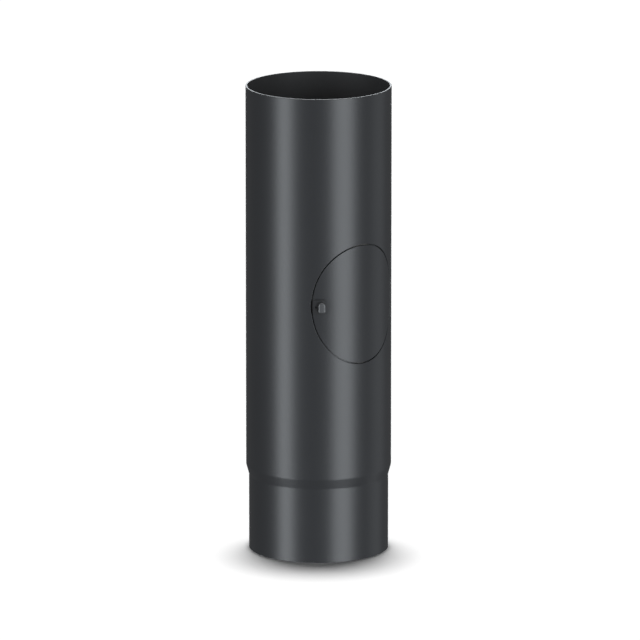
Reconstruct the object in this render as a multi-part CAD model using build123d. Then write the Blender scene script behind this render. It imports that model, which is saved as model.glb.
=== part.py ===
"""Flue pipe with a flush inspection door.

A rolled and welded steel pipe, swaged down to a spigot at its lower end. An oval door is cut out of the
wall. It closes flush on a gasketed seat, swings on a gooseneck hinge hidden inside the pipe, and is held
by a turn latch at its other edge.

Frame: millimetres, +Z up along the pipe, origin at the centre of the spigot's end. The door faces -Y, with
its hinge towards +X and its latch towards -X.
"""
import os
from math import acos, atan2, cos, degrees, hypot, pi, radians, sin, sqrt, tan

from build123d import *

# Pipe
PIPE_BORE = 150.0  # inside diameter, which takes the next pipe's spigot
WALL = 2.0
PIPE_LENGTH = 500.0
SPIGOT_PLAY = 1.0  # radial room of the spigot in the next pipe's bore
SPIGOT_LENGTH = 80.0  # straight part below the taper
TAPER_LENGTH = 11.0
BEND_RADIUS = 8.0  # inner radius of the two bends of the taper
RIM_CHAMFER = 0.5  # broken edges of the two ends

# Door: sizes along the curved outside of the pipe
DOOR_WIDTH = 111.0
DOOR_HEIGHT = 126.0
DOOR_CENTRE_Z = 278.0
DOOR_GAP = 1.2
OUTLINE_POINTS = 16
PRY_NOTCH_HEIGHT = 15.0  # slot beside the latch that takes a screwdriver
PRY_NOTCH_DEPTH = 0.8

# Seat ring and gasket behind the door
SEAT_THICKNESS = 1.5
SEAT_LIP = 5.0  # reach of the seat inside the opening's edge
SEAT_FLANGE = 8.0  # reach of the welded flange behind the pipe wall
GASKET_THICKNESS = 2.0
GASKET_MARGIN = 0.3
SEAL_GAP = 0.3  # between the closed door and the gasket
WELD_GAP = 0.05  # between welded or bonded faces
RISER_OFFSET = 0.2

# Hinge
HINGE_ANGLE = 58.0  # degrees round the pipe from the door's middle
PIN_DIAMETER = 4.0
KNUCKLE_WALL = 1.5
KNUCKLE_ROOM = 0.5  # between the knuckle and the pipe wall
ARM_THICKNESS = 2.0
ARM_HEIGHT = 24.0
ARM_BEND_RADIUS = 1.0  # inner radius of its two bends
ARM_ROOM = 1.3  # between the arm's bow and the seat's edge
ARM_LEG_ANGLE = 240.0  # degrees, the leg's direction as seen from the pin
ARM_PAD_ANGLE = 16.0  # degrees of the door's inside covered by the welded pad
EAR_THICKNESS = 2.5
EAR_RADIUS = 5.0
EAR_PLAY = 0.5
BRACKET_START = 64.0  # degrees round the pipe from the door's middle
BRACKET_END = 78.0
BRACKET_THICKNESS = 2.0
PIN_HEAD_DIAMETER = 7.0
PIN_HEAD_HEIGHT = 1.8
CLIP_THICKNESS = 0.8
CLIP_GROOVE_DEPTH = 0.5
CLIP_SLOT = 2.6
PIN_TAIL = 1.2

# Latch: insets are measured along the outside from the door's edge
PLATE_WIDTH = 13.2
PLATE_HEIGHT = 15.4
PLATE_THICKNESS = 1.5
PLATE_INSET = 7.3
PLATE_CORNER = 1.0
KNOB_INSET = 9.9
KNOB_WIDTH = 7.6
KNOB_HEIGHT = 10.8
KNOB_DEPTH = 4.4
KNOB_EDGE_RADIUS = 1.0
KNOB_LIFT = 0.3  # between the turning knob and its plate
SHAFT_DIAMETER = 5.0
SHAFT_FLATS = 3.8  # across the flats that drive the cam
THREAD_DIAMETER = 3.6
SCREW_INSET = 3.9
SCREW_DIAMETER = 2.5
SCREW_HEAD_DIAMETER = 4.4
SCREW_SINK = 0.05  # of the countersunk head below the plate's face
SCREW_SOCKET = 2.0  # across the flats of its hexagon socket
SCREW_SOCKET_DEPTH = 0.9
SPACER_DIAMETER = 8.0
WASHER_DIAMETER = 9.0
WASHER_THICKNESS = 0.8
WASHER_DISH = 0.25
CAM_WIDTH = 9.0
CAM_REACH = 16.0
CAM_THICKNESS = 2.0
CAM_ROOM = 0.4  # between the turned cam and the seat
NUT_FLATS = 7.0
NUT_HEIGHT = 3.2
THREAD_TAIL = 1.0
RUNNING_PLAY = 0.05  # radial, shaft or pin in its hole

# Derived sizes of the pipe and the door
BORE_R = PIPE_BORE / 2
OUTER_R = BORE_R + WALL
SPIGOT_R = BORE_R - SPIGOT_PLAY
MAIN_START = SPIGOT_LENGTH + TAPER_LENGTH
TAPER_TURN = atan2(OUTER_R - SPIGOT_R, TAPER_LENGTH)
SEAT_OUTER_R = BORE_R - WELD_GAP
GASKET_OUTER_R = BORE_R - SEAL_GAP
LIP_OUTER_R = GASKET_OUTER_R - GASKET_THICKNESS - WELD_GAP
LIP_INNER_R = LIP_OUTER_R - SEAT_THICKNESS
LIP_GROW = DOOR_GAP - SEAT_LIP
RISER_GROW = DOOR_GAP + RISER_OFFSET
FLANGE_GROW = DOOR_GAP + SEAT_FLANGE

# Derived sizes of the hinge, in the cross-section with x to the right and y out through the door
KNUCKLE_R = PIN_DIAMETER / 2 + RUNNING_PLAY + KNUCKLE_WALL
PIN_R_PLACE = BORE_R - KNUCKLE_ROOM - KNUCKLE_R
PIN_X = PIN_R_PLACE * sin(radians(HINGE_ANGLE))
PIN_Y = PIN_R_PLACE * cos(radians(HINGE_ANGLE))
LIP_ANGLE = (DOOR_WIDTH / 2 + LIP_GROW) / OUTER_R
SEAT_CORNER_REACH = hypot(PIN_X - GASKET_OUTER_R * sin(LIP_ANGLE), PIN_Y - GASKET_OUTER_R * cos(LIP_ANGLE))
BOW_INNER_R = SEAT_CORNER_REACH + ARM_ROOM
BOW_OUTER_R = BOW_INNER_R + ARM_THICKNESS
PAD_OUTER_R = BORE_R - WELD_GAP
PAD_INNER_R = PAD_OUTER_R - ARM_THICKNESS
EAR_FACE = ARM_HEIGHT / 2 + EAR_PLAY
EAR_BACK = EAR_FACE + EAR_THICKNESS

# Derived places along the latch's axis, measured from the pipe's axis
PLATE_INNER_R = OUTER_R + WELD_GAP
PLATE_OUTER_R = PLATE_INNER_R + PLATE_THICKNESS
KNOB_BASE = PLATE_OUTER_R + KNOB_LIFT
SEAT_REACH = KNOB_INSET + RISER_GROW + SEAT_THICKNESS
CAM_FACE = sqrt(LIP_INNER_R**2 - SEAT_REACH**2) - CAM_ROOM
CAM_BACK = CAM_FACE - CAM_THICKNESS
WASHER_FACE = CAM_FACE + WASHER_THICKNESS + WASHER_DISH
SPACER_FACE = sqrt(BORE_R**2 - (SPACER_DIAMETER / 2) ** 2) - RUNNING_PLAY
NUT_BACK = CAM_BACK - NUT_HEIGHT
SHAFT_END = NUT_BACK - THREAD_TAIL


def around(inset: float) -> float:
    """Angle in degrees, from the door's middle, of a place at that inset from the latch edge."""
    return -degrees((DOOR_WIDTH / 2 - inset) / OUTER_R)


def facing(angle: float) -> Plane:
    """Plane through the pipe's axis at the door's middle: local z points out at that angle, local y is up."""
    turn = radians(angle)
    return Plane(
        origin=(0, 0, DOOR_CENTRE_Z),
        x_dir=(cos(turn), sin(turn), 0),
        z_dir=(sin(turn), -cos(turn), 0),
    )


# Horizontal plane at the door's middle with x to the right and y out through the door
SECTION = Plane(origin=(0, 0, DOOR_CENTRE_Z), x_dir=(1, 0, 0), z_dir=(0, 0, -1))


def tube(radius_out: float, radius_in: float, low: float, high: float) -> Part:
    """Round tube on the pipe's axis between two heights."""
    ring = Circle(radius_out) - Circle(radius_in)
    return extrude(Plane.XY.offset(low) * ring, high - low)


def disc(place: Plane, start: float, end: float, diameter: float) -> Part:
    """Round bar along a plane's local z, between two distances from the plane."""
    return extrude(place.offset(start) * Circle(diameter / 2), end - start)


def cone(place: Plane, start: float, end: float, start_diameter: float, end_diameter: float) -> Part:
    """Cone along a plane's local z, between two distances from the plane."""
    seat = (Align.CENTER, Align.CENTER, Align.MIN)
    return place.offset(start) * Cone(start_diameter / 2, end_diameter / 2, end - start, align=seat)


def rounded(sketch: Sketch, corners: list[tuple[float, float, float]]) -> Sketch:
    """Rounds the corners given as x, y and radius."""
    for x, y, radius in corners:
        corner = min(sketch.vertices(), key=lambda v: hypot(v.X - x, v.Y - y))
        sketch = fillet(corner, radius)
    return sketch


def bent(strip: Part, bends: list[tuple[float, float, float]]) -> Part:
    """Rounds the upright edges at places in the cross-section, given as x, y and radius."""
    for x, y, radius in bends:
        upright = strip.edges().filter_by(Axis.Z)
        edge = min(upright, key=lambda e: hypot(e.center().X - x, e.center().Y + y))
        strip = fillet(edge, radius)
    return strip


def outline(distance: float, grow: float) -> Face:
    """Door outline, grown evenly, projected from the pipe's axis on to a flat plane at that distance."""
    half_turn = (DOOR_WIDTH / 2 + grow) / OUTER_R
    half_height = DOOR_HEIGHT / 2 + grow
    steps = [2 * pi * i / OUTLINE_POINTS for i in range(OUTLINE_POINTS)]
    points = [(distance * tan(half_turn * cos(t)), half_height * sin(t)) for t in steps]
    return make_face(facing(0).offset(distance) * Spline(*points, periodic=True))


def oval(grow: float) -> Part:
    """Solid that cuts the grown door outline out of the wall, with its sides square to the surface."""
    near = BORE_R / 3
    far = OUTER_R + BORE_R / 3
    return loft([outline(near, grow), outline(far, grow)], ruled=True)


def curved_panel(radius_out: float, radius_in: float, grow: float, inner_grow: float | None = None) -> Part:
    """Piece of a round wall inside the grown outline, with an oval hole if inner_grow is given."""
    reach = DOOR_HEIGHT / 2 + grow + WALL
    panel = tube(radius_out, radius_in, DOOR_CENTRE_Z - reach, DOOR_CENTRE_Z + reach) & oval(grow)
    if inner_grow is not None:
        panel -= oval(inner_grow)
    return panel


def ring_sector(radius_out: float, radius_in: float, start: float, end: float, centre=(0, 0)) -> Sketch:
    """Flat ring sector between two angles in degrees, counted anticlockwise from x."""
    middle_turn = radians((start + end) / 2)
    reach = radius_out * 2
    wedge = Polygon(
        centre,
        (centre[0] + reach * cos(radians(start)), centre[1] + reach * sin(radians(start))),
        (centre[0] + reach * 2 * cos(middle_turn), centre[1] + reach * 2 * sin(middle_turn)),
        (centre[0] + reach * cos(radians(end)), centre[1] + reach * sin(radians(end))),
        align=None,
    )
    ring = Pos(*centre) * (Circle(radius_out) - Circle(radius_in))
    return ring & wedge


def at_height(sketch: Sketch, low: float, high: float) -> Part:
    """Extrudes a cross-section sketch between two heights above the door's middle."""
    return extrude(SECTION.offset(-high) * sketch, high - low)


def flue_pipe() -> Part:
    """Rolled wall with the swaged spigot, the door's opening and the pry notch."""
    wall_shift = WALL * tan(TAPER_TURN / 2)
    outer_bends = [(SPIGOT_R, SPIGOT_LENGTH, BEND_RADIUS), (OUTER_R, MAIN_START, BEND_RADIUS + WALL)]
    inner_bends = [
        (BORE_R, MAIN_START + wall_shift, BEND_RADIUS),
        (SPIGOT_R - WALL, SPIGOT_LENGTH + wall_shift, BEND_RADIUS + WALL),
    ]
    lower_rim = [(SPIGOT_R - WALL, 0), (SPIGOT_R, 0)]
    upper_rim = [(OUTER_R, PIPE_LENGTH), (BORE_R, PIPE_LENGTH)]
    bends_up = [(x, z) for x, z, _ in outer_bends]
    bends_down = [(x, z) for x, z, _ in inner_bends]
    profile = Polygon(*lower_rim, *bends_up, *upper_rim, *bends_down, align=None)
    profile = rounded(profile, outer_bends + inner_bends)
    rows = profile.vertices().group_by(Axis.Y)
    profile = chamfer(rows[0] + rows[-1], RIM_CHAMFER)
    pipe = revolve(Plane.XZ * profile, Axis.Z)
    notch_angle = around(-DOOR_GAP)
    notch = Box(2 * PRY_NOTCH_DEPTH, PRY_NOTCH_HEIGHT, 4 * WALL)
    return pipe - oval(DOOR_GAP) - facing(notch_angle).offset(OUTER_R) * notch


def door_panel() -> Part:
    """Oval of the pipe wall, with the holes of the latch."""
    panel = curved_panel(OUTER_R, BORE_R, 0)
    panel -= disc(facing(around(KNOB_INSET)), LIP_INNER_R, PLATE_OUTER_R, SHAFT_DIAMETER + 2 * RUNNING_PLAY)
    panel -= disc(facing(around(SCREW_INSET)), LIP_INNER_R, PLATE_OUTER_R, SCREW_DIAMETER + 2 * RUNNING_PLAY)
    return panel


def door_seat() -> Part:
    """Pressed ring of Z section: a flange behind the pipe wall, a riser, and the lip under the gasket."""
    flange = curved_panel(SEAT_OUTER_R, SEAT_OUTER_R - SEAT_THICKNESS, FLANGE_GROW, RISER_GROW)
    riser = curved_panel(SEAT_OUTER_R, LIP_INNER_R, RISER_GROW + SEAT_THICKNESS, RISER_GROW)
    lip = curved_panel(LIP_OUTER_R, LIP_INNER_R, RISER_GROW + SEAT_THICKNESS, LIP_GROW)
    return flange + riser + lip


def door_gasket() -> Part:
    """Flat fibre ring that lies in the seat."""
    inner = LIP_OUTER_R + WELD_GAP
    return curved_panel(GASKET_OUTER_R, inner, RISER_GROW - GASKET_MARGIN, LIP_GROW + GASKET_MARGIN)


def meeting_angle(pipe_r: float, pin_r: float) -> float:
    """Degrees, seen from the pipe's axis, from the hinge to where the two circles round each axis meet."""
    share = (PIN_R_PLACE**2 + pipe_r**2 - pin_r**2) / (2 * PIN_R_PLACE * pipe_r)
    return degrees(acos(share))


def hinge_arm() -> Part:
    """Bent strip: a pad on the door's inside, a bow round the seat's edge, a leg and a rolled knuckle."""
    pin = (PIN_X, PIN_Y)
    pad_end = 90 - HINGE_ANGLE + meeting_angle(PAD_OUTER_R, BOW_INNER_R)
    pad_corner = 90 - HINGE_ANGLE + meeting_angle(PAD_INNER_R, BOW_OUTER_R)
    pad = ring_sector(PAD_OUTER_R, PAD_INNER_R, pad_end, pad_end + ARM_PAD_ANGLE)
    pad -= Pos(*pin) * Circle(BOW_INNER_R)
    bow = ring_sector(BOW_OUTER_R, BOW_INNER_R, 90, ARM_LEG_ANGLE, pin) & Circle(PAD_OUTER_R)
    leg = Pos(*pin) * Rot(0, 0, ARM_LEG_ANGLE) * Rectangle(
        BOW_OUTER_R, ARM_THICKNESS, align=(Align.MIN, Align.MAX)
    )
    leg &= Pos(*pin) * Circle(BOW_OUTER_R)
    knuckle = Pos(*pin) * Circle(KNUCKLE_R)
    strip = pad + bow + leg + knuckle - Pos(*pin) * Circle(PIN_DIAMETER / 2 + RUNNING_PLAY)
    outer_bend = ARM_BEND_RADIUS + ARM_THICKNESS
    leg_turn = radians(ARM_LEG_ANGLE)
    leg_reach = sqrt(BOW_INNER_R**2 - ARM_THICKNESS**2)
    bends = [
        (PAD_OUTER_R * cos(radians(pad_end)), PAD_OUTER_R * sin(radians(pad_end)), outer_bend),
        (PAD_INNER_R * cos(radians(pad_corner)), PAD_INNER_R * sin(radians(pad_corner)), ARM_BEND_RADIUS),
        (PIN_X + BOW_OUTER_R * cos(leg_turn), PIN_Y + BOW_OUTER_R * sin(leg_turn), outer_bend),
        (
            PIN_X + leg_reach * cos(leg_turn) + ARM_THICKNESS * sin(leg_turn),
            PIN_Y + leg_reach * sin(leg_turn) - ARM_THICKNESS * cos(leg_turn),
            ARM_BEND_RADIUS,
        ),
    ]
    return bent(at_height(strip, -ARM_HEIGHT / 2, ARM_HEIGHT / 2), bends)


def hinge_bracket() -> Part:
    """Folded bracket welded to the pipe's inside, with an ear above and an ear below the arm."""
    base = ring_sector(SEAT_OUTER_R, SEAT_OUTER_R - BRACKET_THICKNESS, 90 - BRACKET_END, 90 - BRACKET_START)
    eye = Pos(PIN_X, PIN_Y) * Circle(EAR_RADIUS)
    ear = make_hull(base.edges() + eye.edges()) & Circle(SEAT_OUTER_R)
    ear -= Pos(PIN_X, PIN_Y) * Circle(PIN_DIAMETER / 2 + RUNNING_PLAY)
    bracket = at_height(base, -EAR_BACK, EAR_BACK)
    return bracket + at_height(ear, EAR_FACE, EAR_BACK) + at_height(ear, -EAR_BACK, -EAR_FACE)


def pin_disc(low: float, high: float, diameter: float) -> Part:
    """Round piece on the hinge's axis between two heights above the door's middle."""
    return at_height(Pos(PIN_X, PIN_Y) * Circle(diameter / 2), low, high)


def hinge_pin() -> Part:
    """Headed pin with a groove for its clip."""
    groove_top = -EAR_BACK - WELD_GAP
    groove_low = groove_top - CLIP_THICKNESS - 2 * WELD_GAP
    pin = pin_disc(groove_low - PIN_TAIL, EAR_BACK + WELD_GAP, PIN_DIAMETER)
    pin += pin_disc(EAR_BACK + WELD_GAP, EAR_BACK + WELD_GAP + PIN_HEAD_HEIGHT, PIN_HEAD_DIAMETER)
    groove = pin_disc(groove_low, groove_top, 2 * PIN_DIAMETER)
    groove -= pin_disc(groove_low, groove_top, PIN_DIAMETER - 2 * CLIP_GROOVE_DEPTH)
    return pin - groove


def hinge_clip() -> Part:
    """Open retaining ring in the pin's groove."""
    bore = PIN_DIAMETER - 2 * CLIP_GROOVE_DEPTH + 2 * RUNNING_PLAY
    ring = Circle(PIN_HEAD_DIAMETER / 2) - Circle(bore / 2)
    ring -= Pos(-PIN_HEAD_DIAMETER / 2, 0) * Rectangle(PIN_HEAD_DIAMETER, CLIP_SLOT)
    top = -EAR_BACK - 2 * WELD_GAP
    return at_height(Pos(PIN_X, PIN_Y) * ring, top - CLIP_THICKNESS, top)


def latch_plate() -> Part:
    """Curved plate on the door's outside, with the holes of the knob's shaft and of its screw."""
    blank = RectangleRounded(PLATE_WIDTH, PLATE_HEIGHT, PLATE_CORNER)
    block = extrude(facing(around(PLATE_INSET)).offset(BORE_R) * blank, PLATE_OUTER_R - BORE_R + WALL)
    reach = PLATE_HEIGHT
    plate = tube(PLATE_OUTER_R, PLATE_INNER_R, DOOR_CENTRE_Z - reach, DOOR_CENTRE_Z + reach) & block
    plate -= disc(facing(around(KNOB_INSET)), BORE_R, KNOB_BASE, SHAFT_DIAMETER + 2 * RUNNING_PLAY)
    plate -= screw_form(RUNNING_PLAY)
    return plate


def screw_form(play: float) -> Part:
    """Countersunk screw without its socket, grown by the play of its hole."""
    place = facing(around(SCREW_INSET))
    top = PLATE_OUTER_R - SCREW_SINK
    taper_start = top - (SCREW_HEAD_DIAMETER - SCREW_DIAMETER) / 2
    wide = SCREW_HEAD_DIAMETER + 2 * play
    form = disc(place, BORE_R, taper_start, SCREW_DIAMETER + 2 * play)
    form += cone(place, taper_start, top, SCREW_DIAMETER + 2 * play, wide)
    if play:
        form += disc(place, top, KNOB_BASE, wide)
    return form


def latch_screw() -> Part:
    """Countersunk screw, tapped into the door, that holds the latch plate."""
    bottom = PLATE_OUTER_R - SCREW_SINK - SCREW_SOCKET_DEPTH
    socket = RegularPolygon(SCREW_SOCKET / 2, 6, major_radius=False)
    return screw_form(0) - extrude(facing(around(SCREW_INSET)).offset(bottom) * socket, WALL)


def knob_outline() -> Sketch:
    """Arched thumb piece: straight sides below, round above."""
    arch_r = KNOB_WIDTH / 2
    shoulder = KNOB_HEIGHT / 2 - arch_r
    lower = Pos(0, (shoulder - KNOB_HEIGHT / 2) / 2) * Rectangle(KNOB_WIDTH, shoulder + KNOB_HEIGHT / 2)
    return lower + Pos(0, shoulder) * Circle(arch_r)


def latch_knob() -> Part:
    """Thumb piece and shaft in one: round through the door, flatted for the cam, threaded at its end."""
    place = facing(around(KNOB_INSET))
    thumb = extrude(place.offset(KNOB_BASE) * knob_outline(), KNOB_DEPTH)
    face = max(thumb.faces(), key=lambda f: f.center().length)
    thumb = fillet(face.outer_wire().edges(), KNOB_EDGE_RADIUS)
    shaft = disc(place, CAM_FACE, KNOB_BASE, SHAFT_DIAMETER)
    flats = Circle(SHAFT_DIAMETER / 2) & Rectangle(SHAFT_FLATS, SHAFT_DIAMETER)
    drive = extrude(place.offset(CAM_BACK) * flats, CAM_THICKNESS)
    thread = disc(place, SHAFT_END, CAM_BACK, THREAD_DIAMETER)
    return thumb + shaft + drive + thread


def latch_spacer() -> Part:
    """Sleeve on the shaft between the door and the spring washer."""
    place = facing(around(KNOB_INSET))
    sleeve = disc(place, WASHER_FACE, SPACER_FACE, SPACER_DIAMETER)
    return sleeve - disc(place, WASHER_FACE, SPACER_FACE, SHAFT_DIAMETER + 2 * RUNNING_PLAY)


def latch_washer() -> Part:
    """Dished spring washer that keeps the latch from turning by itself."""
    inner = SHAFT_DIAMETER / 2 + RUNNING_PLAY
    outer = WASHER_DIAMETER / 2
    section = Polygon(
        (inner, WASHER_DISH),
        (outer, 0),
        (outer, WASHER_THICKNESS),
        (inner, WASHER_DISH + WASHER_THICKNESS),
        align=None,
    )
    washer = revolve(Plane.XZ * section, Axis.Z)
    return facing(around(KNOB_INSET)).offset(CAM_FACE) * washer


def latch_cam() -> Part:
    """Flat tongue on the shaft. It hangs down when released and turns behind the seat to lock."""
    place = facing(around(KNOB_INSET))
    end_r = CAM_WIDTH / 2
    tongue = Circle(end_r) + Pos(0, -(CAM_REACH - end_r) / 2) * Rectangle(CAM_WIDTH, CAM_REACH - end_r)
    tongue += Pos(0, end_r - CAM_REACH) * Circle(end_r)
    grown = SHAFT_DIAMETER + 2 * RUNNING_PLAY
    tongue -= Circle(grown / 2) & Rectangle(SHAFT_FLATS + 2 * RUNNING_PLAY, grown)
    return extrude(place.offset(CAM_BACK) * tongue, CAM_THICKNESS)


def latch_nut() -> Part:
    """Hexagon nut that holds the cam on the shaft."""
    place = facing(around(KNOB_INSET))
    face = RegularPolygon(NUT_FLATS / 2, 6, major_radius=False) - Circle(THREAD_DIAMETER / 2 + RUNNING_PLAY)
    return extrude(place.offset(NUT_BACK) * face, NUT_HEIGHT)


PIECES = (
    flue_pipe,
    door_seat,
    door_gasket,
    hinge_bracket,
    hinge_pin,
    hinge_clip,
    door_panel,
    hinge_arm,
    latch_plate,
    latch_screw,
    latch_knob,
    latch_spacer,
    latch_washer,
    latch_cam,
    latch_nut,
)


def main() -> None:
    """Builds every piece and writes it under its own name."""
    os.makedirs("parts", exist_ok=True)
    for piece in PIECES:
        export_step(piece(), f"parts/{piece.__name__}.step")
    print("hinge axis", round(PIN_X, 4), round(-PIN_Y, 4))
    print("latch axis angle", round(around(KNOB_INSET), 4))


if __name__ == "__main__":
    main()
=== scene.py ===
"""Looks of a flue pipe with a flush inspection door: fine meshes, stove paint, seams and studio."""
import logging
from dataclasses import dataclass, field
from enum import Enum
from math import asin, atan2, cos, pi, radians, sin, tan

import bmesh
import bpy
from mathutils import Matrix, Vector
from mathutils.kdtree import KDTree

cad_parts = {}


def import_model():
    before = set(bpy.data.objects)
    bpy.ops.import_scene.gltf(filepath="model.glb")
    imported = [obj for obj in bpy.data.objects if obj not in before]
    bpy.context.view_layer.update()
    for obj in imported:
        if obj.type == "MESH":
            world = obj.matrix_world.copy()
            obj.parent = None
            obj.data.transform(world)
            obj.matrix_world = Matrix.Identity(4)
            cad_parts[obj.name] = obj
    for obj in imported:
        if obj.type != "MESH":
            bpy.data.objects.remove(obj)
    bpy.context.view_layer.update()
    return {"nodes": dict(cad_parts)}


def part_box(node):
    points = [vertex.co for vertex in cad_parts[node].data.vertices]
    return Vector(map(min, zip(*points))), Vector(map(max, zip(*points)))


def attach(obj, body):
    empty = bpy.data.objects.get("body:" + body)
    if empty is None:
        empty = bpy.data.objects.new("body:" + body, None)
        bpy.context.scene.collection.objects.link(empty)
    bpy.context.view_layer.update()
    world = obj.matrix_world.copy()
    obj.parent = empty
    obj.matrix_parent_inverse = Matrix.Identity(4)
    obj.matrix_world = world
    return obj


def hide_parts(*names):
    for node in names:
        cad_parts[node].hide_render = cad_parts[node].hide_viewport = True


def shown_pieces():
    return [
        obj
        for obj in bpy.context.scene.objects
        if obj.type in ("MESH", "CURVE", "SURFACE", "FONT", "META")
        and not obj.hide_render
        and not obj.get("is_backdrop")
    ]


LOG = logging.getLogger("flue_pipe")
MM = 0.001
IMAGE_SIZE = 640

Ring = list[tuple[Vector, Vector]]


@dataclass(frozen=True)
class PartSizes:
    """Sizes of the part that the outer boxes of its solids don't show."""

    wall: float = 2.0 * MM
    spigot_r: float = 74.0 * MM
    door_gap: float = 1.2 * MM
    knob_angle: float = -33.931
    knob_base_r: float = 78.85 * MM
    shaft_hole_r: float = 2.55 * MM
    screw_angle: float = -38.396
    screw_hole_r: float = 1.3 * MM
    seat_flange_r: float = 73.45 * MM
    seat_weld_grow: float = 6.2 * MM
    bracket_weld_angles: tuple[float, float] = (63.2, 78.8)
    bracket_weld_half: float = 14.0 * MM
    arm_pad_r: float = 72.95 * MM
    arm_weld_angles: tuple[float, float] = (25.0, 33.0)


class Body(str, Enum):
    """Bodies of the frame that a piece can ride on."""

    PIPE = "pipe"
    DOOR = "door"
    LATCH = "latch"


class Slot(str, Enum):
    """Material slots that the finishes name."""

    PAINT = "stove_paint"
    ZINC = "zinc_steel"
    FIBRE = "fibre"


class GrainGroup:
    """Shader group shared by the finishes: cloudy tone, fine grain and a height for bump."""

    NAME = "surface_grain"

    @classmethod
    def get(cls) -> bpy.types.ShaderNodeTree:
        """Returns the group, built on first use."""
        found = bpy.data.node_groups.get(cls.NAME)
        return found or cls.build()

    @classmethod
    def build(cls) -> bpy.types.ShaderNodeTree:
        """Builds the group.

        Returns:
            The node group with Color, Value and Height outputs.
        """
        tree = bpy.data.node_groups.new(cls.NAME, "ShaderNodeTree")
        face = tree.interface
        face.new_socket("Vector", in_out="INPUT", socket_type="NodeSocketVector")
        for name in ("Color", "Cloud Color"):
            face.new_socket(name, in_out="INPUT", socket_type="NodeSocketColor")
        for name in ("Cloud Scale", "Grain Scale", "Value Low", "Value High"):
            face.new_socket(name, in_out="INPUT", socket_type="NodeSocketFloat")
        face.new_socket("Color", in_out="OUTPUT", socket_type="NodeSocketColor")
        for name in ("Value", "Height"):
            face.new_socket(name, in_out="OUTPUT", socket_type="NodeSocketFloat")
        nodes, links = tree.nodes, tree.links
        start = nodes.new("NodeGroupInput")
        end = nodes.new("NodeGroupOutput")
        cloud = nodes.new("ShaderNodeTexNoise")
        cloud.inputs["Detail"].default_value = 4.0
        grain = nodes.new("ShaderNodeTexNoise")
        grain.inputs["Detail"].default_value = 3.0
        speck = nodes.new("ShaderNodeTexVoronoi")
        mix = nodes.new("ShaderNodeMix")
        mix.data_type = "RGBA"
        spread = nodes.new("ShaderNodeMapRange")
        height = nodes.new("ShaderNodeMath")
        height.operation = "MULTIPLY_ADD"
        height.inputs[1].default_value = 0.5
        for texture, scale in ((cloud, "Cloud Scale"), (grain, "Grain Scale"), (speck, "Grain Scale")):
            links.new(start.outputs["Vector"], texture.inputs["Vector"])
            links.new(start.outputs[scale], texture.inputs["Scale"])
        links.new(cloud.outputs["Fac"], mix.inputs["Factor"])
        links.new(start.outputs["Color"], mix.inputs["A"])
        links.new(start.outputs["Cloud Color"], mix.inputs["B"])
        links.new(grain.outputs["Fac"], spread.inputs["Value"])
        links.new(start.outputs["Value Low"], spread.inputs["To Min"])
        links.new(start.outputs["Value High"], spread.inputs["To Max"])
        links.new(speck.outputs["Distance"], height.inputs[0])
        links.new(grain.outputs["Fac"], height.inputs[2])
        links.new(mix.outputs["Result"], end.inputs["Color"])
        links.new(spread.outputs["Result"], end.inputs["Value"])
        links.new(height.outputs["Value"], end.inputs["Height"])
        return tree


@dataclass(frozen=True)
class Finish:
    """One surface finish, made as a procedural material."""

    name: str
    slot: Slot
    color: tuple[float, float, float]
    cloud_color: tuple[float, float, float]
    roughness: tuple[float, float]
    metallic: float = 0.0
    cloud_scale: float = 18.0
    grain_scale: float = 1400.0
    bump_strength: float = 0.08
    bump_distance: float = 0.00006
    specular: float = 0.5

    def material(self) -> bpy.types.Material:
        """Returns the material, built on first use."""
        return bpy.data.materials.get(self.name) or self.build()

    def build(self) -> bpy.types.Material:
        """Builds the material around the shared grain group.

        Returns:
            The new material.
        """
        material = bpy.data.materials.new(self.name)
        material.use_nodes = True
        nodes, links = material.node_tree.nodes, material.node_tree.links
        shader = nodes["Principled BSDF"]
        shader.inputs["Metallic"].default_value = self.metallic
        shader.inputs["Specular IOR Level"].default_value = self.specular
        place = nodes.new("ShaderNodeTexCoord")
        grain = nodes.new("ShaderNodeGroup")
        grain.node_tree = GrainGroup.get()
        grain.inputs["Color"].default_value = (*self.color, 1.0)
        grain.inputs["Cloud Color"].default_value = (*self.cloud_color, 1.0)
        grain.inputs["Cloud Scale"].default_value = self.cloud_scale
        grain.inputs["Grain Scale"].default_value = self.grain_scale
        grain.inputs["Value Low"].default_value = self.roughness[0]
        grain.inputs["Value High"].default_value = self.roughness[1]
        bump = nodes.new("ShaderNodeBump")
        bump.inputs["Strength"].default_value = self.bump_strength
        bump.inputs["Distance"].default_value = self.bump_distance
        links.new(place.outputs["Object"], grain.inputs["Vector"])
        links.new(grain.outputs["Color"], shader.inputs["Base Color"])
        links.new(grain.outputs["Value"], shader.inputs["Roughness"])
        links.new(grain.outputs["Height"], bump.inputs["Height"])
        links.new(bump.outputs["Normal"], shader.inputs["Normal"])
        return material

    def dress(self, piece: bpy.types.Object) -> None:
        """Gives every slot of a piece this finish."""
        piece.data.materials.clear()
        piece.data.materials.append(self.material())


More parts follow.
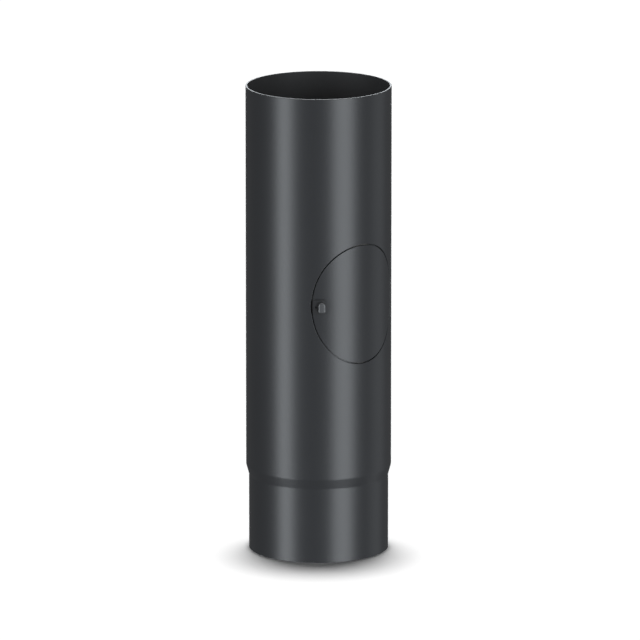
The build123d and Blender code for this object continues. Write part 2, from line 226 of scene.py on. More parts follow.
STOVE_PAINT = Finish(
    "stove_paint_satin", Slot.PAINT, (0.0215, 0.0222, 0.0242), (0.0250, 0.0257, 0.0278), (0.33, 0.40)
)
# Inside paint, lighter than the outside paint: painted fill light for the dim bore; it is also rougher.
INNER_PAINT_FILL_LIT = Finish(
    "stove_paint_inside_painted_fill",
    Slot.PAINT,
    (0.034, 0.034, 0.035),
    (0.041, 0.041, 0.042),
    (0.55, 0.70),
    cloud_scale=40.0,
)
# Knob paint, lighter than the door's: painted highlight, a lit copy of the stove paint; its low roughness is
# its real gloss.
LATCH_PAINT_LIT = Finish(
    "latch_paint_gloss_painted_highlight",
    Slot.PAINT,
    (0.066, 0.067, 0.070),
    (0.088, 0.089, 0.092),
    (0.17, 0.27),
    cloud_scale=160.0,
)
# Plate paint, darker than the door's: painted shade, a shaded copy of the stove paint for the dark lines
# round the latch plate.
PLATE_PAINT_SHADED = Finish(
    "plate_paint_satin_painted_shade",
    Slot.PAINT,
    (0.016, 0.016, 0.017),
    (0.021, 0.021, 0.022),
    (0.36, 0.46),
    cloud_scale=160.0,
)
ZINC = Finish(
    "zinc_dull",
    Slot.ZINC,
    (0.50, 0.50, 0.49),
    (0.40, 0.41, 0.42),
    (0.28, 0.46),
    metallic=1.0,
    cloud_scale=220.0,
)
# Dark screw head: a black-oxide finish, darkened further as painted shade so it reads as the dark hole in the
# plate.
SCREW_STEEL_SHADED = Finish(
    "screw_black_oxide_and_shade",
    Slot.ZINC,
    (0.05, 0.05, 0.052),
    (0.03, 0.03, 0.032),
    (0.35, 0.5),
    metallic=0.6,
    cloud_scale=300.0,
)
# Gasket fibre darkened well below its own pale tone: painted shade that deepens the door's seam where the
# gasket shows through the gap.
FIBRE = Finish(
    "gasket_fibre_painted_seam_shade",
    Slot.FIBRE,
    (0.17, 0.165, 0.155),
    (0.11, 0.105, 0.10),
    (0.85, 0.98),
    cloud_scale=260.0,
    grain_scale=2600.0,
    bump_strength=0.6,
    bump_distance=0.0004,
)


class MeshMaker:
    """Collects rings of points with their normals and joins them into one smooth mesh."""

    def __init__(self) -> None:
        self.points: list[Vector] = []
        self.normals: list[Vector] = []
        self.faces: list[tuple[int, ...]] = []

    def ring(self, ring: Ring) -> list[int]:
        """Adds a ring and returns its indices."""
        first = len(self.points)
        self.points += [point for point, _ in ring]
        self.normals += [normal for _, normal in ring]
        return list(range(first, first + len(ring)))

    def strip(self, a: list[int], b: list[int]) -> None:
        """Joins two closed rings of the same length by quads, b to the left of a's direction."""
        count = len(a)
        for i in range(count):
            k = (i + 1) % count
            self.faces.append((a[i], a[k], b[k], b[i]))

    def cap(self, ring: list[int], point: Vector, normal: Vector) -> None:
        """Closes a ring with a fan to one point."""
        middle = len(self.points)
        self.points.append(point)
        self.normals.append(normal)
        for i, here in enumerate(ring):
            self.faces.append((here, ring[(i + 1) % len(ring)], middle))

    def piece(self, name: str) -> bpy.types.Object:
        """Makes the object, with its own normals.

        Args:
            name: Name of the new piece.

        Returns:
            The linked object.
        """
        mesh = bpy.data.meshes.new(name)
        mesh.from_pydata(self.points, [], self.faces)
        mesh.update()
        mesh.shade_smooth()
        mesh.normals_split_custom_set_from_vertices(self.normals)
        piece = bpy.data.objects.new(name, mesh)
        bpy.context.scene.collection.objects.link(piece)
        return piece


@dataclass
class DoorOutline:
    """Oval on the pipe's wall, with sizes along the curved outside."""

    wall_r: float
    half_width: float
    half_height: float
    centre_z: float

    def point(self, turn: float, grow: float, radius: float) -> Vector:
        """Point of the grown outline at a turn in radians, at a radius from the pipe's axis."""
        return self.place((self.half_width + grow) * cos(turn), (self.half_height + grow) * sin(turn), radius)

    def place(self, along: float, up: float, radius: float) -> Vector:
        """Point of the wall at a distance along it and a height above the door's middle."""
        angle = along / self.wall_r
        return Vector((radius * sin(angle), -radius * cos(angle), self.centre_z + up))

    @staticmethod
    def out(point: Vector) -> Vector:
        """Direction away from the pipe's axis."""
        return Vector((point.x, point.y, 0.0)).normalized()

    def edge_out(self, turn: float, point: Vector) -> Vector:
        """Direction in the wall's surface that leads out of the oval."""
        flat = Vector((cos(turn) / self.half_width, sin(turn) / self.half_height)).normalized()
        around = Vector((-point.y, point.x, 0.0)).normalized()
        return around * flat.x + Vector((0.0, 0.0, flat.y))


@dataclass
class PipeBody:
    """The rolled pipe wall with its spigot, and the opening for the door."""

    outer_r: float
    wall: float
    spigot_r: float
    length: float
    outline: DoorOutline
    gap: float
    spigot_length: float = 80.0 * MM
    taper_length: float = 11.0 * MM
    bend_r: float = 8.0 * MM
    rim_r: float = 0.5 * MM
    edge_r: float = 0.35 * MM
    notch_half: float = 7.5 * MM
    notch_depth: float = 0.8 * MM
    segments: int = 240
    patch_segments: int = 80
    patch_rows: int = 48
    patch_half: float = 88.0 * MM
    ring_count: int = 14
    bend_steps: int = 6

    def arc(self, corner: tuple, before: tuple, after: tuple, radius: float) -> list[tuple[float, float]]:
        """Rounded corner of the wall's section.

        Args:
            corner: Corner as radius and height.
            before: Point before it.
            after: Point after it.
            radius: Radius of the rounding.

        Returns:
            Points along the rounding.
        """
        middle = Vector(corner)
        one = (Vector(before) - middle).normalized()
        two = (Vector(after) - middle).normalized()
        half = one.angle(two) / 2
        centre = middle + (one + two).normalized() * (radius / sin(half))
        start = middle + one * (radius / (sin(half) / cos(half))) - centre
        end = middle + two * (radius / (sin(half) / cos(half))) - centre
        turn = start.angle_signed(end)
        steps = [i / self.bend_steps for i in range(self.bend_steps + 1)]
        spin = [Matrix.Rotation(-turn * s, 2) for s in steps]
        return [tuple(centre + m @ start) for m in spin]

    def section(self) -> list[tuple[float, float]]:
        """Closed section of the wall: up the outside, over the rim, down the inside."""
        bore_r = self.outer_r - self.wall
        spigot_bore_r = self.spigot_r - self.wall
        main_start = self.spigot_length + self.taper_length
        shift = self.wall * (self.outer_r - self.spigot_r) / self.taper_length / 2
        corners = [
            (spigot_bore_r, 0.0, self.rim_r),
            (self.spigot_r, 0.0, self.rim_r),
            (self.spigot_r, self.spigot_length, self.bend_r),
            (self.outer_r, main_start, self.bend_r + self.wall),
            (self.outer_r, self.length, self.rim_r),
            (bore_r, self.length, self.rim_r),
            (bore_r, main_start + shift, self.bend_r),
            (spigot_bore_r, self.spigot_length + shift, self.bend_r + self.wall),
        ]
        points: list[tuple[float, float]] = []
        for i, (r, z, radius) in enumerate(corners):
            before = corners[i - 1][:2]
            after = corners[(i + 1) % len(corners)][:2]
            points += self.arc((r, z), before, after, radius)
        return self.with_rows(points)

    def with_rows(self, points: list[tuple[float, float]]) -> list[tuple[float, float]]:
        """Adds the rows of the patch round the door to both faces of the main wall."""
        low = self.outline.centre_z - self.patch_half
        rows = [low + 2 * self.patch_half * i / self.patch_rows for i in range(self.patch_rows + 1)]
        done = []
        for i, (r, z) in enumerate(points):
            done.append((r, z))
            r_next, z_next = points[(i + 1) % len(points)]
            if z < low and z_next > rows[-1]:
                done += [(r, row) for row in rows]
            if z > rows[-1] and z_next < low:
                done += [(r, row) for row in reversed(rows)]
        return done

    def hole_grow(self, turn: float) -> float:
        """Growth of the opening over the door's outline, with the pry notch beside the latch."""
        up = self.outline.half_height * sin(turn)
        beside = cos(turn) < 0 and abs(up) < self.notch_half
        return self.gap + (self.notch_depth if beside else 0.0)

    def build(self) -> bpy.types.Object:
        """Builds the wall.

        Returns:
            The pipe's object.
        """
        maker = MeshMaker()
        section = self.section()
        rings = []
        for i, (r, z) in enumerate(section):
            before, after = section[i - 1], section[(i + 1) % len(section)]
            lean = Vector((after[1] - before[1], before[0] - after[0])).normalized()
            ring: Ring = []
            for k in range(self.segments):
                angle = 2 * pi * k / self.segments - pi / 2
                out = Vector((cos(angle), sin(angle), 0.0))
                ring.append((out * r + Vector((0, 0, z)), out * lean.x + Vector((0, 0, lean.y))))
            rings.append(maker.ring(ring))
        windows = self.windows(section)
        half = self.patch_segments // 2
        for i in range(len(rings)):
            k = (i + 1) % len(rings)
            for j in range(self.segments):
                offset = (j + self.segments // 2) % self.segments - self.segments // 2
                if i in windows and -half <= offset < half:
                    continue
                n = (j + 1) % self.segments
                maker.faces.append((rings[i][j], rings[i][n], rings[k][n], rings[k][j]))
        self.frame_opening(maker, rings, section)
        return maker.piece("pipe_wall")

    def windows(self, section: list[tuple[float, float]]) -> set[int]:
        """Rows of the section whose faces give way to the patch round the opening."""
        low = self.outline.centre_z - self.patch_half
        high = self.outline.centre_z + self.patch_half
        inside = [low - MM / 10 <= z <= high + MM / 10 for _, z in section]
        return {i for i in range(len(section)) if inside[i] and inside[(i + 1) % len(section)]}

    def border(self, rings: list[list[int]], section: list, outer: bool) -> list[int]:
        """Indices round the patch, anticlockwise as seen from outside."""
        wall_r = self.outer_r if outer else self.outer_r - self.wall
        low = self.outline.centre_z - self.patch_half - MM / 10
        high = self.outline.centre_z + self.patch_half + MM / 10
        rows = [i for i, (r, z) in enumerate(section) if abs(r - wall_r) < MM / 100 and low <= z <= high]
        rows.sort(key=lambda i: section[i][1])
        half = self.patch_segments // 2
        loop = [rings[rows[0]][k % self.segments] for k in range(-half, half)]
        loop += [rings[i][half] for i in rows[:-1]]
        loop += [rings[rows[-1]][k % self.segments] for k in range(half, -half, -1)]
        loop += [rings[i][-half % self.segments] for i in reversed(rows[1:])]
        return loop

    def frame_opening(self, maker: MeshMaker, rings: list[list[int]], section: list) -> None:
        """Joins the outer wall through the rounded edges of the opening to the inner wall."""
        outer = self.border(rings, section, True)
        inner = self.border(rings, section, False)
        shape = self.outline
        spots = []
        for index in outer:
            point = maker.points[index]
            along = shape.wall_r * atan2(point.x, -point.y)
            up = point.z - shape.centre_z
            spots.append((along, up, atan2(up / shape.half_height, along / shape.half_width)))
        bore_r = self.outer_r - self.wall

        def flat_ring(share: float, radius: float, facing: float) -> Ring:
            """Ring on one face of the wall, at a share of the way from the opening to the border."""
            ring = []
            for along, up, turn in spots:
                grow = self.hole_grow(turn) + self.edge_r
                x = (shape.half_width + grow) * cos(turn) * (1 - share) + along * share
                y = (shape.half_height + grow) * sin(turn) * (1 - share) + up * share
                point = shape.place(x, y, radius)
                ring.append((point, shape.out(point) * facing))
            return ring

        def edge_ring(bend: float, facing: float) -> Ring:
            """Ring on the rounded edge: bend 0 is on the face, 1 on the cut."""
            angle = bend * pi / 2
            base_r = self.outer_r if facing > 0 else bore_r
            radius = base_r - facing * self.edge_r * (1 - cos(angle))
            ring = []
            for _, _, turn in spots:
                grow = self.hole_grow(turn) + self.edge_r * (1 - sin(angle))
                point = shape.point(turn, grow, radius)
                normal = shape.out(point) * facing * cos(angle) - shape.edge_out(turn, point) * sin(angle)
                ring.append((point, normal))
            return ring

        shares = [1 - i / self.ring_count for i in range(1, self.ring_count)]
        loops = [outer]
        loops += [maker.ring(flat_ring(share, self.outer_r, 1.0)) for share in shares]
        loops += [maker.ring(edge_ring(bend, 1.0)) for bend in (0.0, 0.33, 0.67, 1.0)]
        loops += [maker.ring(edge_ring(bend, -1.0)) for bend in (1.0, 0.67, 0.33, 0.0)]
        loops += [maker.ring(flat_ring(share, bore_r, -1.0)) for share in reversed(shares)]
        loops.append(inner)
        for a, b in zip(loops, loops[1:]):
            maker.strip(a, b)

    def dress(self, piece: bpy.types.Object) -> None:
        """Paints the wall, duller inside and lighter there as painted fill light, and puts it in the place of
        its solid.
        """
        STOVE_PAINT.dress(piece)
        piece.data.materials.append(INNER_PAINT_FILL_LIT.material())
        # Faces that look into the bore take the lighter inside paint, which is painted fill light.
        for face in piece.data.polygons:
            face.material_index = int(face.normal.dot(DoorOutline.out(face.center)) < -0.5)
        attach(piece, Body.PIPE.value)
        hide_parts("flue_pipe")


@dataclass
class DoorPanel:
    """The oval door, with softly rounded edges."""

    outline: DoorOutline
    wall: float
    edge_r: float = 0.35 * MM
    around: int = 256
    face_steps: int = 18
    holes: tuple[tuple[float, float], ...] = ()
    hole_sides: int = 48

    def build(self) -> bpy.types.Object:
        """Builds the panel.

        Returns:
            The door's object.
        """
        shape = self.outline
        maker = MeshMaker()
        turns = [2 * pi * i / self.around for i in range(self.around)]
        outer_r, inner_r = shape.wall_r, shape.wall_r - self.wall

        def face_ring(share: float, radius: float, facing: float) -> Ring:
            """Ring on one face, at a share of the way from the middle to the edge."""
            points = []
            for t in turns:
                along = (shape.half_width - self.edge_r) * cos(t) * share
                up = (shape.half_height - self.edge_r) * sin(t) * share
                points.append(shape.place(along, up, radius))
            return [(point, shape.out(point) * facing) for point in points]

        def edge_ring(bend: float, facing: float) -> Ring:
            """Ring on the rounded edge: bend 0 is on the face, 1 on the cut."""
            angle = bend * pi / 2
            base_r = outer_r if facing > 0 else inner_r
            radius = base_r - facing * self.edge_r * (1 - cos(angle))
            ring = []
            for t in turns:
                point = shape.point(t, -self.edge_r * (1 - sin(angle)), radius)
                normal = shape.out(point) * facing * cos(angle) + shape.edge_out(t, point) * sin(angle)
                ring.append((point, normal))
            return ring

        shares = [1 - i / self.face_steps for i in range(1, self.face_steps)]
        loops = [maker.ring(face_ring(share, inner_r, -1.0)) for share in reversed(shares)]
        loops += [maker.ring(edge_ring(bend, -1.0)) for bend in (0.0, 0.33, 0.67, 1.0)]
        loops += [maker.ring(edge_ring(bend, 1.0)) for bend in (1.0, 0.67, 0.33, 0.0)]
        loops += [maker.ring(face_ring(share, outer_r, 1.0)) for share in shares]
        for a, b in zip(loops, loops[1:]):
            maker.strip(a, b)
        middle = shape.place(0.0, 0.0, outer_r)
        maker.cap(loops[-1], middle, shape.out(middle))
        middle = shape.place(0.0, 0.0, inner_r)
        maker.cap(loops[0][::-1], middle, -shape.out(middle))
        leaf = maker.piece("door_leaf")
        self.pierce(leaf, maker)
        return leaf

    def pierce(self, leaf: bpy.types.Object, maker: MeshMaker) -> None:
        """Cuts the round holes of the latch and gives the cut mesh its normals.

        Args:
            leaf: The door's object.
            maker: Maker that holds the points and normals of the uncut mesh.
        """
        cutters = [self.cutter(angle, radius) for angle, radius in self.holes]
        for cutter in cutters:
            modifier = leaf.modifiers.new("hole", "BOOLEAN")
            modifier.operation = "DIFFERENCE"
            modifier.object = cutter
        graph = bpy.context.evaluated_depsgraph_get()
        cut = bpy.data.meshes.new_from_object(leaf.evaluated_get(graph))
        leaf.modifiers.clear()
        leaf.data = cut
        for cutter in cutters:
            bpy.data.objects.remove(cutter)
        tree = KDTree(len(maker.points))
        for index, point in enumerate(maker.points):
            tree.insert(point, index)
        tree.balance()
        normals: list[Vector] = []
        for face in cut.polygons:
            facing = face.normal.dot(self.outline.out(face.center))
            for vertex in face.vertices:
                point = cut.vertices[vertex].co
                _, index, distance = tree.find(point)
                if abs(facing) > 0.9:
                    normals.append(self.outline.out(point) * (1.0 if facing > 0 else -1.0))
                elif distance < MM / 1000:
                    normals.append(maker.normals[index])
                else:
                    normals.append(face.normal.copy())
        cut.normals_split_custom_set(normals)

    def cutter(self, angle: float, radius: float) -> bpy.types.Object:
        """Round bar through the wall at an angle in degrees from the door's middle."""
        turn = radians(angle)
        out = Vector((sin(turn), -cos(turn), 0.0))
        spot = out * (self.outline.wall_r - self.wall / 2) + Vector((0.0, 0.0, self.outline.centre_z))
        place = Matrix.Translation(spot) @ out.to_track_quat("Z", "Y").to_matrix().to_4x4()
        form = bmesh.new()
        bmesh.ops.create_cone(
            form,
            cap_ends=True,
            segments=self.hole_sides,
            radius1=radius,
            radius2=radius,
            depth=4 * self.wall,
            matrix=place,
        )
        mesh = bpy.data.meshes.new("hole_bar")
        form.to_mesh(mesh)
        form.free()
        bar = bpy.data.objects.new("hole_bar", mesh)
        bpy.context.scene.collection.objects.link(bar)
        return bar

    def dress(self, piece: bpy.types.Object) -> None:
        """Paints the door and puts it in the place of its solid."""
        STOVE_PAINT.dress(piece)
        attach(piece, Body.DOOR.value)
        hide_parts("door_panel")


@dataclass
class LatchKnob:
    """Arched thumb piece with soft edges, in one with its shaft."""

    angle: float
    base_r: float
    width: float = 7.6 * MM
    height: float = 10.8 * MM
    depth: float = 4.4 * MM
    edge_r: float = 1.55 * MM
    corner_r: float = 1.7 * MM
    dome: float = 0.25 * MM
    arch_steps: int = 24
    corner_steps: int = 8
    edge_steps: int = 6
    shaft: tuple[tuple[float, float], ...] = (
        (2.5 * MM, 78.85 * MM),
        (2.5 * MM, 69.6 * MM),
        (1.9 * MM, 69.6 * MM),
        (1.9 * MM, 67.6 * MM),
        (1.8 * MM, 67.6 * MM),
        (1.8 * MM, 63.4 * MM),
    )

    def arcs(self) -> list[tuple[float, float, float, float]]:
        """Outline as centre, radius and direction of each point, anticlockwise from the right."""
        arch_r = self.width / 2
        side = arch_r - self.corner_r
        shoulder = self.height / 2 - arch_r
        low = self.corner_r - self.height / 2
        arch = [pi * i / self.arch_steps for i in range(self.arch_steps + 1)]
        corner = [pi / 2 * i / self.corner_steps for i in range(self.corner_steps + 1)]
        points = [(0.0, shoulder, arch_r, turn) for turn in arch]
        points += [(-side, low, self.corner_r, pi + turn) for turn in corner]
        points += [(side, low, self.corner_r, 1.5 * pi + turn) for turn in corner]
        return points

    def place(self, across: float, up: float, out: float, centre_z: float) -> Vector:
        """Point given across the knob, up and out from the pipe's axis."""
        turn = radians(self.angle)
        level = Vector((cos(turn), sin(turn), 0.0)) * across + Vector((sin(turn), -cos(turn), 0.0)) * out
        return level + Vector((0.0, 0.0, centre_z + up))

    def build(self, centre_z: float) -> bpy.types.Object:
        """Builds the knob.

        Args:
            centre_z: Height of its axis.

        Returns:
            The knob's object.
        """
        maker = MeshMaker()
        arcs = self.arcs()
        origin = self.place(0.0, 0.0, 0.0, 0.0)

        def ring(inset: float, out: float, lean: float) -> Ring:
            """Outline moved in, with normals that lean out of the outline's plane."""
            made = []
            for x, y, r, turn in arcs:
                point = self.place(x + (r - inset) * cos(turn), y + (r - inset) * sin(turn), out, centre_z)
                flat = self.place(cos(turn), sin(turn), 0.0, 0.0) - origin
                away = self.place(0.0, 0.0, 1.0, 0.0) - origin
                made.append((point, flat * cos(lean) + away * sin(lean)))
            return made

        def round_ring(radius: float, out: float) -> Ring:
            """Ring of the shaft with as many points as the outline."""
            turns = [2 * pi * i / len(arcs) for i in range(len(arcs))]
            points = [self.place(radius * cos(t), radius * sin(t), out, centre_z) for t in turns]
            return [(p, self.place(cos(t), sin(t), 0.0, 0.0) - origin) for p, t in zip(points, turns)]

        loops = [maker.ring(round_ring(r, out)) for r, out in reversed(self.shaft)]
        loops.append(maker.ring(ring(0.0, self.base_r, 0.0)))
        top = self.base_r + self.depth - self.dome
        for i in range(self.edge_steps + 1):
            lean = pi / 2 * i / self.edge_steps * 0.9
            inset = self.edge_r * (1 - cos(lean))
            loops.append(maker.ring(ring(inset, top - self.edge_r + self.edge_r * sin(lean), lean)))
        for a, b in zip(loops, loops[1:]):
            maker.strip(a, b)
        away = self.place(0.0, 0.0, 1.0, 0.0) - origin
        maker.cap(loops[-1], self.place(0.0, 0.0, self.base_r + self.depth, centre_z), away)
        maker.cap(loops[0][::-1], self.place(0.0, 0.0, self.shaft[-1][1], centre_z), -away)
        return maker.piece("latch_thumb_knob")

    def dress(self, piece: bpy.types.Object) -> None:
        """Paints the knob, lighter as a painted highlight, and puts it in the place of its solid."""
        LATCH_PAINT_LIT.dress(piece)
        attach(piece, Body.LATCH.value)
        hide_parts("latch_knob")


@dataclass
class WeldBead:
    """Welds as rows of small ripples along a path, made with geometry nodes."""

    pitch: float = 1.5 * MM
    half_width: float = 1.5 * MM
    half_length: float = 1.3 * MM
    height: float = 0.22 * MM

    def tree(self) -> bpy.types.GeometryNodeTree:
        """Builds the ripple tree.

        Returns:
            The geometry node group with its named inputs.
        """
        tree = bpy.data.node_groups.new("weld_ripples", "GeometryNodeTree")
        face = tree.interface
        face.new_socket("Geometry", in_out="INPUT", socket_type="NodeSocketGeometry")
        face.new_socket("Pitch", in_out="INPUT", socket_type="NodeSocketFloat")
        face.new_socket("Ripple Size", in_out="INPUT", socket_type="NodeSocketVector")
        face.new_socket("Material", in_out="INPUT", socket_type="NodeSocketMaterial")
        face.new_socket("Geometry", in_out="OUTPUT", socket_type="NodeSocketGeometry")
        nodes, links = tree.nodes, tree.links
        start = nodes.new("NodeGroupInput")
        end = nodes.new("NodeGroupOutput")
        path = nodes.new("GeometryNodeMeshToCurve")
        spaced = nodes.new("GeometryNodeResampleCurve")
        spaced.mode = "LENGTH"
        ripple = nodes.new("GeometryNodeMeshUVSphere")
        ripple.inputs["Segments"].default_value = 12
        ripple.inputs["Rings"].default_value = 6
        ripple.inputs["Radius"].default_value = 1.0
        smooth = nodes.new("GeometryNodeSetShadeSmooth")
        size = nodes.new("GeometryNodeTransform")
        aim = nodes.new("GeometryNodeInputNamedAttribute")
        aim.data_type = "FLOAT_VECTOR"
        aim.inputs["Name"].default_value = "away"
        turn = nodes.new("FunctionNodeAlignRotationToVector")
        turn.axis = "X"
        turn.pivot_axis = "Z"
        lay = nodes.new("GeometryNodeInstanceOnPoints")
        real = nodes.new("GeometryNodeRealizeInstances")
        paint = nodes.new("GeometryNodeSetMaterial")
        links.new(start.outputs["Geometry"], path.inputs["Mesh"])
        links.new(path.outputs["Curve"], spaced.inputs["Curve"])
        links.new(start.outputs["Pitch"], spaced.inputs["Length"])
        links.new(ripple.outputs["Mesh"], size.inputs["Geometry"])
        links.new(start.outputs["Ripple Size"], size.inputs["Scale"])
        links.new(size.outputs["Geometry"], smooth.inputs["Geometry"])
        links.new(aim.outputs["Attribute"], turn.inputs["Vector"])
        links.new(spaced.outputs["Curve"], lay.inputs["Points"])
        links.new(smooth.outputs["Geometry"], lay.inputs["Instance"])
        links.new(turn.outputs["Rotation"], lay.inputs["Rotation"])
        links.new(lay.outputs["Instances"], real.inputs["Geometry"])
        links.new(real.outputs["Geometry"], paint.inputs["Geometry"])
        links.new(start.outputs["Material"], paint.inputs["Material"])
        links.new(paint.outputs["Geometry"], end.inputs["Geometry"])
        return tree

    def build(self, name: str, paths: list[list[tuple[Vector, Vector]]], finish: Finish) -> bpy.types.Object:
        """Lays ripples along paths.

        Args:
            name: Name of the new piece.
            paths: Paths as points with the direction that the weld stands out in.
            finish: Finish of the weld.

        Returns:
            The linked object, a plain mesh.
        """
        tree = bpy.data.node_groups.get("weld_ripples") or self.tree()
        mesh = bpy.data.meshes.new(f"{name}_path")
        points: list[Vector] = []
        away: list[Vector] = []
        edges: list[tuple[int, int]] = []
        for path in paths:
            first = len(points)
            points += [point for point, _ in path]
            away += [out for _, out in path]
            edges += [(first + i, first + i + 1) for i in range(len(path) - 1)]
        mesh.from_pydata(points, edges, [])
        layer = mesh.attributes.new("away", "FLOAT_VECTOR", "POINT")
        for i, out in enumerate(away):
            layer.data[i].vector = out
        holder = bpy.data.objects.new(f"{name}_path", mesh)
        bpy.context.scene.collection.objects.link(holder)
        modifier = holder.modifiers.new("ripples", "NODES")
        modifier.node_group = tree
        sockets = {item.name: item.identifier for item in tree.interface.items_tree if item.in_out == "INPUT"}
        modifier[sockets["Pitch"]] = self.pitch
        modifier[sockets["Ripple Size"]] = (self.height, self.half_width, self.half_length)
        modifier[sockets["Material"]] = finish.material()
        graph = bpy.context.evaluated_depsgraph_get()
        made = bpy.data.meshes.new_from_object(holder.evaluated_get(graph))
        holder.modifiers.clear()
        bpy.data.objects.remove(holder)
        made.name = name
        piece = bpy.data.objects.new(name, made)
        bpy.context.scene.collection.objects.link(piece)
        return piece


@dataclass
class Welds:
    """The welds that hold the pipe together: its long seam, the seat's spots, the hinge's beads and spots."""

    pipe: PipeBody
    seat_r: float
    seat_grow: float
    bracket_angles: tuple[float, float]
    bracket_half: float
    pad_r: float
    pad_angles: tuple[float, float]
    end_gap: float = 1.5 * MM
    path_points: int = 120
    spot_step: float = 7.0 * MM

    def wall_place(self, angle: float, radius: float, z: float) -> Vector:
        """Point at an angle in degrees from the door's middle."""
        turn = radians(angle)
        return Vector((radius * sin(turn), -radius * cos(turn), z))

    def seam(self) -> list[tuple[Vector, Vector]]:
        """Path of the long seam at the back; inside it is ground flush for the next pipe."""
        pipe = self.pipe
        heights = (
            (pipe.spigot_r, self.end_gap),
            (pipe.spigot_r, pipe.spigot_length),
            (pipe.outer_r, pipe.spigot_length + pipe.taper_length),
            (pipe.outer_r, pipe.length - self.end_gap),
        )
        return [(self.wall_place(180.0, r, z), Vector((0.0, 1.0, 0.0))) for r, z in heights]

    def seat_path(self) -> list[tuple[Vector, Vector]]:
        """Closed path along the middle of the seat's flange."""
        shape = self.pipe.outline
        turns = [2 * pi * i / self.path_points for i in range(self.path_points + 1)]
        points = [shape.point(turn, self.seat_grow, self.seat_r) for turn in turns]
        return [(point, -shape.out(point)) for point in points]

    def upright(self, angle: float, radius: float, half: float) -> list[tuple[Vector, Vector]]:
        """Upright path inside the pipe, centred on the door's height."""
        middle = self.pipe.outline.centre_z
        ends = [self.wall_place(angle, radius, middle + step) for step in (-half, half)]
        return [(end, -DoorOutline.out(end)) for end in ends]

    def build(self) -> None:
        """Builds all welds and lets them ride on their bodies."""
        bore_r = self.pipe.outer_r - self.pipe.wall
        bead = WeldBead()
        seam = bead.build("pipe_seam", [self.seam()], STOVE_PAINT)
        spot = WeldBead(pitch=20.0 * MM, half_width=2.2 * MM, half_length=2.2 * MM, height=0.25 * MM)
        seat = spot.build("seat_spot_welds", [self.seat_path()], INNER_PAINT_FILL_LIT)
        tack = WeldBead(pitch=1.4 * MM, half_width=1.2 * MM, half_length=1.1 * MM, height=0.9 * MM)
        sides = [self.upright(angle, bore_r, self.bracket_half) for angle in self.bracket_angles]
        bracket = tack.build("bracket_weld", sides, INNER_PAINT_FILL_LIT)
        for piece in (seam, seat, bracket):
            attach(piece, Body.PIPE.value)
        pad_spot = WeldBead(2 * self.spot_step, 2.0 * MM, 2.0 * MM, 0.25 * MM)
        rows = [self.upright(angle, self.pad_r, self.spot_step) for angle in self.pad_angles]
        pad = pad_spot.build("arm_spot_welds", rows, INNER_PAINT_FILL_LIT)
        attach(pad, Body.DOOR.value)


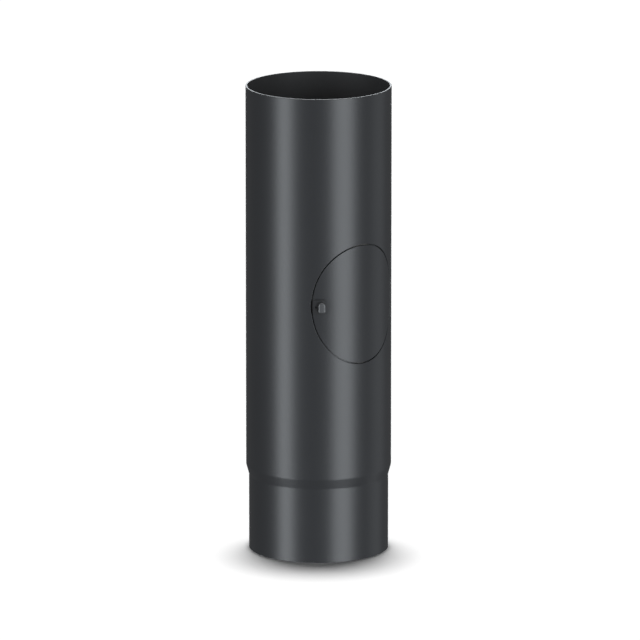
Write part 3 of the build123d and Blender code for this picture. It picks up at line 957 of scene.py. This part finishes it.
@dataclass
class Studio:
    """Pale floor, soft strip lights and the camera at the photograph's angle."""

    azimuth: float = -36.5
    distance: float = 8.801
    eye_height: float = 2.2701
    aim_height: float = 0.24648
    side_step: float = 0.00149
    focal_px: float = 8530.0
    sensor: float = 36.0
    floor_size: float = 60.0
    strips: tuple[tuple[float, float, float], ...] = (
        (-54.5, 0.82, 37.0),
        (39.5, 1.15, 44.0),
        (106.0, 1.1, 4.5),
        (180.0, 0.7, 26.0),
    )
    overhead: tuple[float, float, float] = (2.2, 1.4, 17.0)
    strip_distance: float = 2.0
    strip_height: float = 2.6
    strip_middle: float = -0.05
    sun_energy: float = 3.3
    sun_spread: float = 9.0
    sun_tilt: float = 5.2
    fill: float = 0.11
    lit: bpy.types.Collection | None = field(default=None, init=False)

    def direction(self, angle: float) -> Vector:
        """Level direction at an angle to the right of the camera, seen from the object."""
        turn = radians(self.azimuth + angle)
        return Vector((sin(turn), -cos(turn), 0.0))

    def build(self) -> None:
        """Builds floor, world, lights and camera."""
        self.build_floor()
        self.build_world()
        self.lit = bpy.data.collections.new("lit_pieces")
        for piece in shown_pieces():
            self.lit.objects.link(piece)
        for number, (angle, width, power) in enumerate(self.strips):
            self.build_strip(f"strip_{number}", angle, width, power)
        self.build_overhead()
        self.build_camera()

    def build_floor(self) -> None:
        """Builds the pale floor and the soft light that only the floor takes."""
        half = self.floor_size / 2
        mesh = bpy.data.meshes.new("studio_floor")
        corners = [(-half, -half, 0), (half, -half, 0), (half, half, 0), (-half, half, 0)]
        mesh.from_pydata(corners, [], [(0, 1, 2, 3)])
        floor = bpy.data.objects.new("studio_floor", mesh)
        bpy.context.scene.collection.objects.link(floor)
        material = bpy.data.materials.new("studio_floor")
        material.use_nodes = True
        shader = material.node_tree.nodes["Principled BSDF"]
        shader.inputs["Base Color"].default_value = (0.9, 0.9, 0.9, 1.0)
        shader.inputs["Roughness"].default_value = 0.9
        shader.inputs["Specular IOR Level"].default_value = 0.0
        mesh.materials.append(material)
        floor.visible_glossy = False
        floor.visible_diffuse = False
        floor.visible_shadow = False
        floor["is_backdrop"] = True
        only = bpy.data.collections.new("floor_only")
        only.objects.link(floor)
        data = bpy.data.lights.new("floor_sun", "SUN")
        data.energy = self.sun_energy
        data.angle = radians(self.sun_spread)
        sun = bpy.data.objects.new("floor_sun", data)
        up = Vector((0, 0, 1)) - self.direction(0.0) * tan(radians(self.sun_tilt))
        sun.rotation_euler = up.to_track_quat("Z", "Y").to_euler()
        bpy.context.scene.collection.objects.link(sun)
        sun.light_linking.receiver_collection = only

    def build_world(self) -> None:
        """Builds a pale surround for the camera and a dim one for everything else."""
        world = bpy.data.worlds.new("studio_world")
        bpy.context.scene.world = world
        world.use_nodes = True
        nodes, links = world.node_tree.nodes, world.node_tree.links
        surround = nodes["Background"]
        ray = nodes.new("ShaderNodeLightPath")
        strength = nodes.new("ShaderNodeMapRange")
        strength.inputs["To Min"].default_value = self.fill
        strength.inputs["To Max"].default_value = 0.95
        links.new(ray.outputs["Is Camera Ray"], strength.inputs["Value"])
        links.new(strength.outputs["Result"], surround.inputs["Strength"])
        surround.inputs["Color"].default_value = (1.0, 1.0, 1.0, 1.0)

    def build_strip(self, name: str, angle: float, width: float, power: float) -> None:
        """Builds one tall soft strip that lights only the object."""
        data = bpy.data.lights.new(name, "AREA")
        data.shape = "RECTANGLE"
        data.size = width
        data.size_y = self.strip_height
        data.energy = power
        data.color = (0.91, 0.96, 1.0)
        strip = bpy.data.objects.new(name, data)
        away = self.direction(angle)
        strip.location = away * self.strip_distance + Vector((0, 0, self.strip_middle))
        strip.rotation_euler = away.to_track_quat("Z", "Y").to_euler()
        bpy.context.scene.collection.objects.link(strip)
        strip.light_linking.receiver_collection = self.lit

    def build_overhead(self) -> None:
        """Builds a soft light above that lights only the object's upper edges."""
        height, size, power = self.overhead
        data = bpy.data.lights.new("overhead", "AREA")
        data.size = size
        data.energy = power
        light = bpy.data.objects.new("overhead", data)
        light.location = (0.0, 0.0, height)
        bpy.context.scene.collection.objects.link(light)
        light.light_linking.receiver_collection = self.lit

    def build_camera(self) -> None:
        """Builds the camera."""
        data = bpy.data.cameras.new("camera")
        data.sensor_width = self.sensor
        data.lens = self.focal_px * self.sensor / IMAGE_SIZE
        data.clip_end = 100.0
        camera = bpy.data.objects.new("camera", data)
        bpy.context.scene.collection.objects.link(camera)
        side = self.direction(90.0) * self.side_step
        camera.location = self.direction(0.0) * self.distance + side + Vector((0, 0, self.eye_height))
        aim = side + Vector((0, 0, self.aim_height)) - camera.location
        camera.rotation_euler = aim.to_track_quat("-Z", "Y").to_euler()
        bpy.context.scene.camera = camera


@dataclass
class PlainSolids:
    """Solids of the frame that stay in view as they are."""

    nodes: dict[str, bpy.types.Object]

    def dress(self) -> None:
        """Gives each solid its finish."""
        finishes = {
            STOVE_PAINT: ("door_seat", "hinge_bracket", "hinge_arm"),
            # The plate, screw and gasket finishes carry painted shade.
            PLATE_PAINT_SHADED: ("latch_plate",),
            ZINC: ("hinge_pin", "hinge_clip", "latch_spacer", "latch_washer", "latch_cam", "latch_nut"),
            SCREW_STEEL_SHADED: ("latch_screw",),
            FIBRE: ("door_gasket",),
        }
        for finish, names in finishes.items():
            for name in names:
                finish.dress(self.nodes[name])
                LOG.info("dressed %s with %s", name, finish.name)


def main() -> None:
    """Builds every sub-assembly in order from the boxes of the pipe and the door, then the studio."""
    logging.basicConfig(level=logging.INFO)
    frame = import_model()
    bpy.context.scene.view_settings.view_transform = "Standard"
    low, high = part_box("flue_pipe")
    door_low, door_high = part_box("door_panel")
    outer_r = (high.x - low.x) / 2
    door = DoorOutline(
        wall_r=outer_r,
        half_width=outer_r * asin(door_high.x / outer_r),
        half_height=(door_high.z - door_low.z) / 2,
        centre_z=(door_high.z + door_low.z) / 2,
    )
    sizes = PartSizes()
    pipe = PipeBody(outer_r, sizes.wall, sizes.spigot_r, high.z - low.z, door, sizes.door_gap)
    pipe.dress(pipe.build())
    holes = ((sizes.knob_angle, sizes.shaft_hole_r), (sizes.screw_angle, sizes.screw_hole_r))
    panel = DoorPanel(door, sizes.wall, holes=holes)
    panel.dress(panel.build())
    knob = LatchKnob(sizes.knob_angle, sizes.knob_base_r)
    knob.dress(knob.build(door.centre_z))
    PlainSolids(frame["nodes"]).dress()
    welds = Welds(
        pipe=pipe,
        seat_r=sizes.seat_flange_r,
        seat_grow=sizes.seat_weld_grow,
        bracket_angles=sizes.bracket_weld_angles,
        bracket_half=sizes.bracket_weld_half,
        pad_r=sizes.arm_pad_r,
        pad_angles=sizes.arm_weld_angles,
    )
    welds.build()
    studio = Studio()
    studio.build()


if __name__ == "__main__":
    main()
